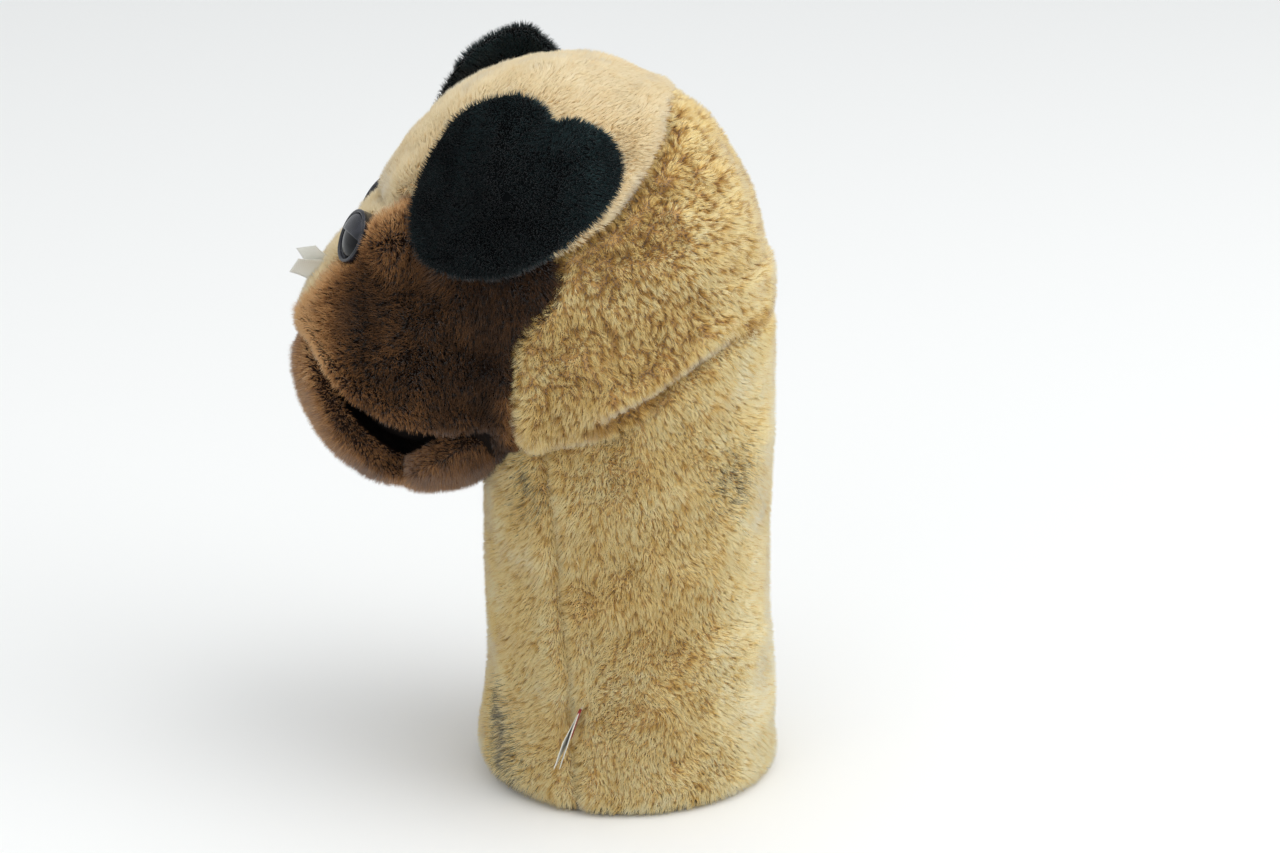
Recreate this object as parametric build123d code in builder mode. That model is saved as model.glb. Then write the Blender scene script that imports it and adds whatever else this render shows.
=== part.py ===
"""A plush dog driver head cover: a soft sleeve with a stuffed dog's head on top.

Frame: origin at the centre of the sleeve's mouth, +Z up along the sleeve, face towards -Y,
so the dog's left side is +X. Millimetres.
"""

import os
from math import sqrt

from build123d import *

# ---------------------------------------------------------------- driving dimensions
BORE_R = 50.0  # inside of the sleeve: a full-size driver's head squeezes through
LINING_T = 1.0
WADDING_T = 5.0
PLUSH_T = 6.0  # knitted backing and pile together
NECK_R = BORE_R + LINING_T + WADDING_T + PLUSH_T

HEM_H = 3.0  # binding round the sleeve's mouth
HEM_INSET = 0.5  # the pile overhangs the binding
SEAM_W = 1.2  # closed-up seam between two plush panels

THROAT_Z = 150.0  # the head nods on the sleeve about this height
BALL_R = NECK_R + 6.0  # the sleeve's top ends inside this ball, the head outside it
BALL_GAP = 0.6
ELASTIC_T = 1.2
ELASTIC_LOW_Z = 144.0
ELASTIC_HIGH_Z = 152.0
HOOD_R = NECK_R - 3.5  # the back of the head comes straight down to the sleeve
HOOD_TOP_Z = 224.0

SKULL = (0.0, -26.0, 227.0)
SKULL_R = 84.0  # in the Y-Z plane
SKULL_HALF_W = 77.0
MUZZLE = (0.0, -84.0, 188.0)
MUZZLE_R = 58.0
MUZZLE_HALF_W = 67.0
BRIDGE_DEPTH = 4.5  # the strip between the flews lies this much deeper
BRIDGE_HALF_W = 12.0
MOUTH_CLOTH_T = 1.5  # the cloth on the mouth's roof and floor

POCKET = (0.0, -27.0, 233.0)  # the hollow that the club head's toe fills
POCKET_R = 56.0
POCKET_TOP_Z = 226.0  # where the bore's round end begins

EAR_GAP = 0.9  # between the ear and the head
EAR_T = 8.0
EAR_ROOT_X = 48.0
EAR_ROOT_Y = (-50.0, -14.0)
EAR_SEAM_R = 3.6  # the gathered seam along the ear's root, which it turns on

EYE_R = 11.5
EYE_H = 7.0
EYE_EDGE_H = 1.5  # the straight rim under the dome
EYE_SINK = 1.5  # how far the eye's back beds into the pile
SHANK_R = 2.0
SHANK_L = 15.0
WASHER_R = 8.0
WASHER_T = 1.6
EYE_X = 32.0
EYE_Z = 240.0
EYE_TILT = (0.40, -0.82, 0.41)  # the way the left eye looks

NOSE_HALF_W = 11.0
NOSE_HALF_H = 8.0
NOSE_T = 6.0
NOSE_ROUND = 3.2
NOSE_SINK = 1.2
NOSE_Z = 203.0

LABEL_T = 0.8  # a satin ribbon folded double
CARE_GAP = 0.6  # between a label's root and the pile
FACE_GAP = 0.8
CARE_Z = 50.0
CARE_W = 13.0
CARE_L = 24.0
CARE_DROP = 7.0
FACE_Z = 222.0
FACE_X = 10.0
FACE_W = 14.0
FACE_L = 15.0

WIDE = 120.0  # half the width of every cutting prism

# outlines in the Y-Z plane
ALL_OUTLINE = [(-300, -50), (300, -50), (300, 400), (-300, 400)]
SEAM_FOOT_Y, SEAM_TOP_Y, SEAM_TOP_Z = -16.0, -36.0, 210.0
JAW_OUTLINE = [(-150, 181), (-131, 177), (-111, 165), (-98, 154), (-90, 150), (-82, 156), (-72, 160),
               (-82, 128), (-92, 110), (-150, 110)]
MOUTH_OUTLINE = [(-160, 186), (-131, 182), (-113, 178), (-96, 171), (-78, 168), (-54, 168), (-54, 100),
                 (-160, 100)]
BROWN_OUTLINE = [(-170, 90), (-42, 90), (-42, 202), (-37, 216), (-28, 227), (-25, 245), (-88, 261),
                 (-104, 252), (-170, 252)]
CROWN_OUTLINE = [(-170, 252), (-104, 252), (-88, 261), (-25, 245), (-8, 257), (1, 266), (7, 277), (11, 291),
                 (15, 306), (22, 340), (-170, 340)]
EAR_OUTLINE = [(-66, 302), (-50, 320), (-14, 320), (-4, 298), (-2, 283), (-6, 268), (-17, 254), (-32, 243),
               (-50, 235), (-68, 231), (-82, 233), (-91, 243), (-90, 256), (-80, 276)]


# ---------------------------------------------------------------- shared tool bodies
def spheroid(centre, radius, half_width):
    """A ball stretched along X: round in the Y-Z plane."""
    with BuildPart() as body:
        with BuildSketch(Plane(origin=centre, x_dir=(1, 0, 0), z_dir=(0, 0, 1))):
            with BuildLine():
                rim = EllipticalCenterArc((0, 0), half_width, radius, start_angle=0, arc_size=180)
                Line(rim @ 1, rim @ 0)
            make_face()
        revolve(axis=Axis(centre, (1, 0, 0)))
    return body.part


def prism(outline, low_x=-WIDE, high_x=WIDE):
    """A Y-Z outline carried from low_x to high_x."""
    with BuildPart() as body:
        with BuildSketch(Plane.YZ.offset(low_x)):
            with BuildLine():
                Polyline(*outline, close=True)
            make_face()
        extrude(amount=high_x - low_x)
    return body.part


def tube(inner_r, outer_r, low_z, high_z):
    """A round sleeve about the Z axis."""
    with BuildPart() as body:
        with BuildSketch(Plane.XY.offset(low_z)):
            Circle(outer_r)
            if inner_r > 0:
                Circle(inner_r, mode=Mode.SUBTRACT)
        extrude(amount=high_z - low_z)
    return body.part


def throat_ball(radius):
    """The ball that the head nods on."""
    with BuildPart() as body:
        with Locations((0, 0, THROAT_Z)):
            Sphere(radius)
    return body.part


def seam_y(z):
    """Where the side seams run, leaning forward as they climb."""
    return SEAM_FOOT_Y + (SEAM_TOP_Y - SEAM_FOOT_Y) * z / SEAM_TOP_Z


def seam_zone(low_offset, high_offset):
    """Everything between two lines parallel to the side seams, seen from the side."""
    high_z = SEAM_TOP_Z + 20
    return prism([(seam_y(-10) + low_offset, -10), (seam_y(-10) + high_offset, -10),
                  (seam_y(high_z) + high_offset, high_z), (seam_y(high_z) + low_offset, high_z)])


neck_ball = throat_ball(BALL_R)
head_ball = throat_ball(BALL_R + BALL_GAP)

# everything the sleeve must not fill: above the throat and outside the ball
with BuildPart() as above_ball:
    add(tube(0, NECK_R + 20, THROAT_Z, THROAT_Z + BALL_R + 20))
    add(neck_ball, mode=Mode.SUBTRACT)

skull_outer = spheroid(SKULL, SKULL_R, SKULL_HALF_W)
skull_inner = spheroid(SKULL, SKULL_R - PLUSH_T, SKULL_HALF_W - PLUSH_T)
muzzle_outer = spheroid(MUZZLE, MUZZLE_R, MUZZLE_HALF_W)
muzzle_inner = spheroid(MUZZLE, MUZZLE_R - PLUSH_T, MUZZLE_HALF_W - PLUSH_T)
bridge_outer = spheroid(MUZZLE, MUZZLE_R - BRIDGE_DEPTH, MUZZLE_HALF_W - BRIDGE_DEPTH)
hood_outer = tube(0, HOOD_R, THROAT_Z, HOOD_TOP_Z)
hood_inner = tube(0, HOOD_R - PLUSH_T, THROAT_Z, HOOD_TOP_Z)

with BuildPart() as head_outer:
    add(skull_outer)
    add(muzzle_outer)
    add(hood_outer)

with BuildPart() as head_inner:
    add(skull_inner)
    add(muzzle_inner)
    add(hood_inner)

with BuildPart() as head_skin:
    add(head_outer.part)
    add(head_inner.part, mode=Mode.SUBTRACT)


def pocket(grown):
    """The bore's round end joined to the hollow in front of it, grown by a wall's thickness."""
    with BuildPart() as body:
        with BuildSketch(Plane.XZ):
            with BuildLine():
                side = Line((BORE_R + grown, THROAT_Z), (BORE_R + grown, POCKET_TOP_Z))
                dome = CenterArc((0, POCKET_TOP_Z), BORE_R + grown, 0, 90)
                Polyline(dome @ 1, (0, THROAT_Z), side @ 0)
            make_face()
        revolve(axis=Axis.Z)
        with Locations(POCKET):
            Sphere(POCKET_R + grown)
    return body.part


pocket_space = pocket(0)
pocket_outside = pocket(LINING_T)

brown_zone = prism(BROWN_OUTLINE)
crown_zone = prism(CROWN_OUTLINE)
mouth_zone = prism(MOUTH_OUTLINE)


# ---------------------------------------------------------------- eyes, nose and what holds them
def surface_y(centre, radius, half_width, x, z):
    """The front of a spheroid at a given x and z."""
    share = sqrt(1 - (x / half_width) ** 2)
    return centre[1] - sqrt((radius * share) ** 2 - (z - centre[2]) ** 2)


def button_solid(plane, dome_r, dome_h, shank_l):
    """A domed plastic button with a shank behind it, built along the plane's normal."""
    with BuildPart() as body:
        with BuildSketch(plane):
            Circle(dome_r)
        extrude(amount=EYE_EDGE_H)
        with BuildSketch(plane.offset(EYE_EDGE_H)):
            Circle(dome_r)
        with BuildSketch(plane.offset(EYE_EDGE_H + (dome_h - EYE_EDGE_H) * 0.62)):
            Circle(dome_r * 0.74)
        with BuildSketch(plane.offset(dome_h)):
            Circle(dome_r * 0.20)
        loft()
        with BuildSketch(plane):
            Circle(SHANK_R)
        extrude(amount=-shank_l)
    return body.part


def washer_solid(plane, depth):
    """The toothed lock washer that is pressed onto a shank, inside the plush."""
    with BuildPart() as body:
        with BuildSketch(plane.offset(-depth)):
            Circle(WASHER_R)
            Circle(SHANK_R, mode=Mode.SUBTRACT)
        extrude(amount=-WASHER_T)
    return body.part


def eye_plane(side):
    """Where an eye's back lies: side is +1 for the left eye, -1 for the right."""
    look = Vector(side * EYE_TILT[0], EYE_TILT[1], EYE_TILT[2]).normalized()
    y = surface_y(SKULL, SKULL_R, SKULL_HALF_W, EYE_X, EYE_Z)
    seat = Vector(side * EYE_X, y, EYE_Z) - look * EYE_SINK
    return Plane(origin=seat, x_dir=Vector(0, 0, 1).cross(look), z_dir=look)


eye_planes = {"left": eye_plane(1), "right": eye_plane(-1)}
eyes = {side: button_solid(plane, EYE_R, EYE_H, SHANK_L) for side, plane in eye_planes.items()}
eye_washers = {side: washer_solid(plane, PLUSH_T) for side, plane in eye_planes.items()}

bridge_r = MUZZLE_R - BRIDGE_DEPTH
nose_y = surface_y(MUZZLE, bridge_r, MUZZLE_HALF_W, 0, NOSE_Z)
nose_look = Vector(0, nose_y - MUZZLE[1], NOSE_Z - MUZZLE[2]).normalized()
nose_seat = Vector(0, nose_y, NOSE_Z) - nose_look * NOSE_SINK
nose_plane = Plane(origin=nose_seat, x_dir=(1, 0, 0), z_dir=nose_look)

with BuildPart() as nose:
    with BuildSketch(nose_plane):
        Ellipse(NOSE_HALF_W, NOSE_HALF_H)
    extrude(amount=NOSE_T)
    fillet(nose.faces().sort_by(Axis(nose_plane.origin, nose_look)).last.edges(), NOSE_ROUND)
    with BuildSketch(nose_plane):
        Circle(SHANK_R)
    extrude(amount=-(PLUSH_T + 3))

nose_washer_depth = PLUSH_T - BRIDGE_DEPTH + 0.4
with BuildPart() as nose_washer:
    add(washer_solid(nose_plane, nose_washer_depth))

face_fittings = [*eyes.values(), *eye_washers.values(), nose.part, nose_washer.part]


# ---------------------------------------------------------------- export
os.makedirs("parts", exist_ok=True)


def write(part, name):
    """Labels a finished piece and writes its STEP file."""
    part.label = name
    export_step(part, f"parts/{name}.step")


def write_pair(left_part, name):
    """Writes a left piece and its mirror image on the right."""
    write(left_part, f"left_{name}")
    write(left_part.mirror(Plane.YZ), f"right_{name}")


# ---------------------------------------------------------------- the sleeve
plush_inner_r = NECK_R - PLUSH_T
sleeve_top = THROAT_Z + BALL_R

with BuildPart() as hem_binding:
    add(tube(BORE_R, NECK_R - HEM_INSET, 0, HEM_H))
write(hem_binding.part, "hem_binding")

with BuildPart() as sleeve_lining:
    add(tube(BORE_R, BORE_R + LINING_T, HEM_H, sleeve_top))
    add(above_ball.part, mode=Mode.SUBTRACT)
write(sleeve_lining.part, "sleeve_lining")

wadding_inner_r = BORE_R + LINING_T
elastic_zone = tube(wadding_inner_r, wadding_inner_r + ELASTIC_T, ELASTIC_LOW_Z, ELASTIC_HIGH_Z)
with BuildPart() as neck_wadding:
    add(tube(wadding_inner_r, plush_inner_r, HEM_H, sleeve_top))
    add(above_ball.part, mode=Mode.SUBTRACT)
    add(elastic_zone, mode=Mode.SUBTRACT)
write(neck_wadding.part, "neck_wadding")

with BuildPart() as throat_elastic:
    add(elastic_zone)
write(throat_elastic.part, "throat_elastic")

with BuildPart() as neck_plush:
    add(tube(plush_inner_r, NECK_R, HEM_H, sleeve_top))
    add(above_ball.part, mode=Mode.SUBTRACT)

with BuildPart() as neck_front_panel:
    add(neck_plush.part)
    add(seam_zone(-SEAM_W / 2, 200), mode=Mode.SUBTRACT)
write(neck_front_panel.part, "neck_front_panel")

with BuildPart() as neck_back_panel:
    add(neck_plush.part)
    add(seam_zone(-200, SEAM_W / 2), mode=Mode.SUBTRACT)
write(neck_back_panel.part, "neck_back_panel")

with BuildPart() as left_side_seam:
    add(neck_plush.part)
    add(seam_zone(-SEAM_W / 2, SEAM_W / 2), mode=Mode.INTERSECT)
    add(prism(ALL_OUTLINE, 0, WIDE), mode=Mode.INTERSECT)
write_pair(left_side_seam.part, "side_seam")

# ---------------------------------------------------------------- the head's plush panels
with BuildPart() as tan_skin:
    add(head_skin.part)
    add(brown_zone, mode=Mode.SUBTRACT)
    add(head_ball, mode=Mode.SUBTRACT)
    add(mouth_zone, mode=Mode.SUBTRACT)
    for fitting in face_fittings:
        add(fitting, mode=Mode.SUBTRACT)

with BuildPart() as crown_half:
    add(tan_skin.part)
    add(crown_zone, mode=Mode.INTERSECT)
    add(prism(ALL_OUTLINE, 0, WIDE), mode=Mode.INTERSECT)

# the halves stay as two faces that meet over the top of the head
with BuildPart() as crown_panel:
    add(crown_half.part)
    add(crown_half.part.mirror(Plane.YZ), clean=False)
write(crown_panel.part, "crown_panel")

with BuildPart() as rear_skin:
    add(tan_skin.part)
    add(crown_zone, mode=Mode.SUBTRACT)

half_seam = SEAM_W / 2
with BuildPart() as left_side_panel:
    add(rear_skin.part)
    add(prism(ALL_OUTLINE, half_seam, WIDE), mode=Mode.INTERSECT)
write_pair(left_side_panel.part, "side_panel")

with BuildPart() as back_seam:
    add(rear_skin.part)
    add(prism(ALL_OUTLINE, -half_seam, half_seam), mode=Mode.INTERSECT)
write(back_seam.part, "back_seam")

with BuildPart() as brown_skin:
    add(head_skin.part)
    add(brown_zone, mode=Mode.INTERSECT)
    add(mouth_zone, mode=Mode.SUBTRACT)
    add(head_ball, mode=Mode.SUBTRACT)
    for fitting in face_fittings:
        add(fitting, mode=Mode.SUBTRACT)

with BuildPart() as left_flew_panel:
    add(brown_skin.part)
    add(prism(ALL_OUTLINE, BRIDGE_HALF_W, WIDE), mode=Mode.INTERSECT)
write_pair(left_flew_panel.part, "flew_panel")

# the tan strip down the middle of the face, deeper than the flews on each side
with BuildPart() as above_bridge:
    add(muzzle_outer)
    add(bridge_outer, mode=Mode.SUBTRACT)
    add(skull_outer, mode=Mode.SUBTRACT)

with BuildPart() as bridge_panel:
    add(brown_skin.part)
    add(prism(ALL_OUTLINE, -BRIDGE_HALF_W, BRIDGE_HALF_W), mode=Mode.INTERSECT)
    add(above_bridge.part, mode=Mode.SUBTRACT)
write(bridge_panel.part, "bridge_panel")

# ---------------------------------------------------------------- inside the head
with BuildPart() as pocket_lining:
    add(pocket_outside)
    add(pocket_space, mode=Mode.SUBTRACT)
    add(head_ball, mode=Mode.SUBTRACT)
write(pocket_lining.part, "pocket_lining")

# the padding round the pocket is two cheeks of fill that meet on the middle plane
with BuildPart() as left_head_padding:
    add(skull_inner)
    add(hood_inner)
    add(pocket_outside, mode=Mode.SUBTRACT)
    add(head_ball, mode=Mode.SUBTRACT)
    add(mouth_zone, mode=Mode.SUBTRACT)
    for fitting in face_fittings:
        add(fitting, mode=Mode.SUBTRACT)
    add(prism(ALL_OUTLINE, 0, WIDE), mode=Mode.INTERSECT)
write_pair(left_head_padding.part, "head_padding")

roof_zone = prism([(y, z + MOUTH_CLOTH_T) for y, z in MOUTH_OUTLINE])
with BuildPart() as muzzle_fill:
    add(muzzle_inner)
    add(skull_inner, mode=Mode.SUBTRACT)
    add(hood_inner, mode=Mode.SUBTRACT)
    add(head_ball, mode=Mode.SUBTRACT)
    add(mouth_zone, mode=Mode.SUBTRACT)
    for fitting in face_fittings:
        add(fitting, mode=Mode.SUBTRACT)

with BuildPart() as left_muzzle_stuffing:
    add(muzzle_fill.part)
    add(roof_zone, mode=Mode.SUBTRACT)
    add(prism(ALL_OUTLINE, 0, WIDE), mode=Mode.INTERSECT)
write_pair(left_muzzle_stuffing.part, "muzzle_stuffing")

with BuildPart() as mouth_roof:
    add(muzzle_fill.part)
    add(roof_zone, mode=Mode.INTERSECT)
write(mouth_roof.part, "mouth_roof")

# ---------------------------------------------------------------- the lower jaw
jaw_zone = prism(JAW_OUTLINE)
with BuildPart() as jaw_panel:
    add(head_skin.part)
    add(jaw_zone, mode=Mode.INTERSECT)
write(jaw_panel.part, "jaw_panel")

with BuildPart() as jaw_fill:
    add(head_inner.part)
    add(jaw_zone, mode=Mode.INTERSECT)

floor_zone = prism([(y, z - MOUTH_CLOTH_T) for y, z in JAW_OUTLINE])
with BuildPart() as jaw_stuffing:
    add(jaw_fill.part)
    add(floor_zone, mode=Mode.INTERSECT)
write(jaw_stuffing.part, "jaw_stuffing")

with BuildPart() as mouth_floor:
    add(jaw_fill.part)
    add(floor_zone, mode=Mode.SUBTRACT)
write(mouth_floor.part, "mouth_floor")

# ---------------------------------------------------------------- eyes and nose
for side in ("left", "right"):
    write(eyes[side], f"{side}_eye")
    write(eye_washers[side], f"{side}_eye_washer")
write(nose.part, "nose")
write(nose_washer.part, "nose_washer")

# ---------------------------------------------------------------- the ears
ear_middle = EAR_GAP + EAR_T / 2


def ear_shell(low, high):
    """The space between two skins that lie low and high above the skull."""
    with BuildPart() as body:
        add(spheroid(SKULL, SKULL_R + high, SKULL_HALF_W + high))
        add(spheroid(SKULL, SKULL_R + low, SKULL_HALF_W + low), mode=Mode.SUBTRACT)
    return body.part


root_share = sqrt(1 - (EAR_ROOT_X / (SKULL_HALF_W + ear_middle)) ** 2)
ear_root_z = SKULL[2] + (SKULL_R + ear_middle) * root_share
root_plane = Plane(origin=(EAR_ROOT_X, EAR_ROOT_Y[0], ear_root_z), x_dir=(1, 0, 0), z_dir=(0, 1, 0))
with BuildPart() as left_ear_root_seam:
    with BuildSketch(root_plane):
        Circle(EAR_SEAM_R)
    extrude(amount=EAR_ROOT_Y[1] - EAR_ROOT_Y[0])
write_pair(left_ear_root_seam.part, "ear_root_seam")

for layer, low, high in (("lining", EAR_GAP, ear_middle), ("plush", ear_middle, EAR_GAP + EAR_T)):
    with BuildPart() as left_ear_layer:
        add(ear_shell(low, high))
        add(prism(EAR_OUTLINE, EAR_ROOT_X, WIDE), mode=Mode.INTERSECT)
        add(left_ear_root_seam.part, mode=Mode.SUBTRACT)
    write_pair(left_ear_layer.part, f"ear_{layer}")

# ---------------------------------------------------------------- the labels
care_y = seam_y(CARE_Z)
care_x = sqrt(NECK_R**2 - care_y**2)
care_out = Vector(care_x, care_y, 0).normalized()
care_root = care_out * (NECK_R + CARE_GAP) + Vector(0, 0, CARE_Z)
care_plane = Plane(origin=care_root, x_dir=care_out, z_dir=care_out.cross(Vector(0, 0, 1)))
with BuildPart() as care_label:
    with BuildSketch(care_plane):
        with BuildLine():
            Polyline((0, 0), (CARE_L, -CARE_DROP), (CARE_L, -CARE_DROP - CARE_W), (0, -CARE_W), close=True)
        make_face()
    extrude(amount=LABEL_T / 2, both=True)
write(care_label.part, "care_label")

face_y = surface_y(MUZZLE, bridge_r, MUZZLE_HALF_W, FACE_X, FACE_Z)
face_out = Vector(0, face_y - MUZZLE[1], FACE_Z - MUZZLE[2]).normalized()
face_root = Vector(FACE_X, face_y, FACE_Z) + face_out * FACE_GAP
face_plane = Plane(origin=face_root, x_dir=face_out, z_dir=(1, 0, 0))
with BuildPart() as face_label:
    with BuildSketch(face_plane):
        with Locations((FACE_L / 2, 0)):
            Rectangle(FACE_L, FACE_W)
    extrude(amount=LABEL_T / 2, both=True)
write(face_label.part, "face_label")
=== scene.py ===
"""Looks of the plush dog driver head cover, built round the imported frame.

Shapes are worked out in millimetres in the row frame: +Z up the sleeve, the face towards -Y,
the dog's left side at +X. A mesh is turned into metres when it is made.
"""

from collections import namedtuple
from math import cos, pi, radians, sin, sqrt

import bpy
import numpy as np
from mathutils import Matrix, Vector


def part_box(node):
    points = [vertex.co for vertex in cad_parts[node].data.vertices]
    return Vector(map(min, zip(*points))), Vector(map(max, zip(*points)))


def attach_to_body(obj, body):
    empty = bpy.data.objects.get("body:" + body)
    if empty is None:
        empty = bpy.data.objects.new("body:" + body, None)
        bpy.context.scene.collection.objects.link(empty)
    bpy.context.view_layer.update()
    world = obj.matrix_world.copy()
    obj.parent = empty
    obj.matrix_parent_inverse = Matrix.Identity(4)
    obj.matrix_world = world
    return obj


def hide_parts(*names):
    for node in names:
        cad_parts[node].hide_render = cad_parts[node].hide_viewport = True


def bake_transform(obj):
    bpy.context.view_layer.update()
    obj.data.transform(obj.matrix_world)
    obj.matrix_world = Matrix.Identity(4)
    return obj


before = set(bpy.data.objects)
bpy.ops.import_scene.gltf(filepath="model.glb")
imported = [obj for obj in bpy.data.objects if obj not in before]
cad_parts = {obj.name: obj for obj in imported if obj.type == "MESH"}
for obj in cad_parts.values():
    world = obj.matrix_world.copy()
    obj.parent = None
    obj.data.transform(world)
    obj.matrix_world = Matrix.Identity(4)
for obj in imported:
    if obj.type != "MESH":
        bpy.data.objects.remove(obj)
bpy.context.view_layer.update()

MM = 0.001
scene = bpy.context.scene


def high(node):
    """The highest corner of a CAD node, in millimetres."""
    return np.array(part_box(node)[1]) / MM


# ---- driving dimensions
NECK_R = high("neck_back_panel")[1]
HEAD_TOP = high("crown_panel")[2]
SKULL_RADII = np.array([76.5, 84.0, 92.0])
SKULL = np.array([0.0, -25.5, HEAD_TOP - SKULL_RADII[2]])
MUZZLE = np.array([0.0, -84.0, 188.0])
MUZZLE_RADII = np.array([66.0, 55.0, 61.0])
CHEEK = np.array([42.0, -14.0, 192.0])
CHEEK_RADII = np.array([36.0, 42.0, 36.0])
BROW = np.array([27.0, -85.0, 237.0])
BROW_RADII = np.array([26.0, 24.0, 22.0])
HOOD_R = 60.0
MOUTH_DEPTH = 15.0
HEART = np.array([0.0, -32.0, 212.0])  # every ray from here meets the head's skin once

PILE = 4.5  # how high the pile stands over the backing cloth
CLOTH = 2.4  # thickness of the backing cloth with its padding
BORE_CLEAR_R = 53.0
EYE_R, EYE_DOME = 11.5, 4.6  # the rim's radius, and how far the ball stands out
EYE_AT = np.array([28.1, -108.6, 239.3])  # the middle of the left eye's back


# ---- numbers without a table
def lattice(i, j, k, seed):
    """A fixed random number from 0 to 1 for each point of a grid."""
    h = (i * 374761393 + j * 668265263 + k * 1440662683 + seed * 974634777) & 0xFFFFFFFF
    h = ((h ^ (h >> 13)) * 1274126177) & 0xFFFFFFFF
    return ((h ^ (h >> 16)) & 0xFFFFFF) / 0xFFFFFF


def noise(p, cell, seed):
    """Smooth noise from -1 to 1 at each point, about one cell across."""
    q = p / cell
    base = np.floor(q).astype(np.int64)
    f = q - base
    f = f * f * (3 - 2 * f)
    total = 0.0
    for corner in range(8):
        a, b, c = corner & 1, corner >> 1 & 1, corner >> 2
        weight = np.abs(1 - a - f[:, 0]) * np.abs(1 - b - f[:, 1]) * np.abs(1 - c - f[:, 2])
        total = total + weight * lattice(base[:, 0] + a, base[:, 1] + b, base[:, 2] + c, seed)
    return 2 * total - 1


def swirl(p, cell, seed):
    """A smooth random vector at each point."""
    return np.stack([noise(p, cell, seed + n) for n in (0, 17, 43)], axis=1)


def tuft_pull(p, cell, seed):
    """The way from each point to the middle of the tuft it belongs to."""
    base = np.floor(p / cell).astype(np.int64)
    best = np.full(len(p), 1e9)
    way = np.zeros_like(p)
    for n in range(27):
        home = base + np.array([n % 3 - 1, n // 3 % 3 - 1, n // 9 - 1])
        jitter = np.stack([lattice(*home.T, seed + m) for m in (0, 5, 11)], axis=1)
        gap = (home + jitter) * cell - p
        size = (gap**2).sum(1)
        near = size < best
        best[near] = size[near]
        way[near] = gap[near]
    return way


def smoothstep(x):
    x = np.clip(x, 0, 1)
    return x * x * (3 - 2 * x)


def smooth_min(a, b, k):
    h = np.clip(0.5 + 0.5 * (b - a) / k, 0, 1)
    return b + (a - b) * h - k * h * (1 - h)


def smooth_max(a, b, k):
    return -smooth_min(-a, -b, k)


def bump(x, width):
    return np.exp(-((x / width) ** 2))


def unit(v):
    v = np.asarray(v, float)
    return v / np.maximum(np.linalg.norm(v, axis=-1, keepdims=True), 1e-9)


def srgb(r, g, b):
    """A screen colour of 0 to 255 as the shader's linear colour."""
    def one(c):
        c /= 255
        return c / 12.92 if c <= 0.04045 else ((c + 0.055) / 1.055) ** 2.4
    return (one(r), one(g), one(b), 1.0)


# ---- the head's form
def ellipsoid(p, centre, radii):
    """About how far each point is outside an ellipsoid."""
    q = (p - centre) / radii
    k0 = np.linalg.norm(q, axis=1)
    k1 = np.maximum(np.linalg.norm(q / radii, axis=1), 1e-9)
    return k0 * (k0 - 1) / k1


def rim_height(y):
    """The height of the head's lower edge beside and behind the neck."""
    return np.interp(y, [-60, -47, -43, -35, -18, -2, 12, 26, 40, 53, 62],
                     [148, 155, 158, 161, 164.5, 169, 175, 186, 194, 199, 201])


def lip_height(y):
    """The lower edge of the flews."""
    return np.interp(y, [-128, -122, -116, -107, -97, -87, -77, -65, -48, -43],
                     [198, 192, 185, 178, 174, 170, 168, 167, 170, 165])


def jaw_height(y):
    """The upper edge of the lower jaw, with its notch at the side."""
    return np.interp(y, [-141, -134, -129, -124, -119, -110, -98, -91, -85, -76, -66, -57, -49, -42],
                     [193, 189, 183, 175, 167, 155, 142, 137, 143, 152, 158, 160, 157, 153])


def both_sides(p):
    """Each point brought over to the dog's left side."""
    return np.abs(p) * [1, 0, 0] + p * [0, 1, 1]


def head_distance(p):
    """How far each point is outside the backing cloth of the head."""
    mirrored = both_sides(p)
    skull = ellipsoid(p, SKULL, SKULL_RADII - PILE)
    muzzle = ellipsoid(p, MUZZLE, MUZZLE_RADII - PILE)
    muzzle = muzzle + MOUTH_DEPTH * smoothstep((lip_height(p[:, 1]) - p[:, 2]) / 4)
    cheek = ellipsoid(mirrored, CHEEK, CHEEK_RADII - PILE)
    hood = np.maximum(np.hypot(p[:, 0], p[:, 1]) - HOOD_R + PILE, p[:, 2] - 222)
    brow = ellipsoid(mirrored, BROW, BROW_RADII - PILE)
    whole = smooth_min(smooth_min(skull, cheek, 10), smooth_min(hood, brow, 8), 8)
    whole = smooth_min(whole, muzzle, 16)
    lower = rim_height(p[:, 1]) - 40 * smoothstep((-47 - p[:, 1]) / 14)
    return smooth_max(whole, lower - p[:, 2], 8)


def brown_field(p):
    """Above zero inside the brown of the face, in millimetres from its edge, seen from the side."""
    rear = np.interp(p[:, 2], [150, 158, 163, 202, 209, 216, 227, 235, 246],
                     [-34, -37, -40, -40, -39, -35, -25, -22, -23])
    top = np.interp(p[:, 1], [-112, -101, -85, -23], [244, 250, 259, 246])
    return np.minimum(rear - p[:, 1], top - p[:, 2])


def crown_field(p):
    """Above zero on the crown's side of its rear edge."""
    edge = np.interp(p[:, 2], [232, 240, 246, 258, 266, 275, 283, 291, 305, 320],
                     [-160, -34, -23, -5, 3, 9, 13, 15, 18, 21])
    return edge - p[:, 1]


def bridge_field(p):
    """Above zero on the pale strip down the middle of the face."""
    half_width = np.interp(p[:, 2], [190, 196, 204, 213, 225, 236, 250],
                           [-4, 7, 16, 21, 24, 28, 35])
    return np.where(p[:, 1] < -80, half_width - np.abs(p[:, 0]), -50)


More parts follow.
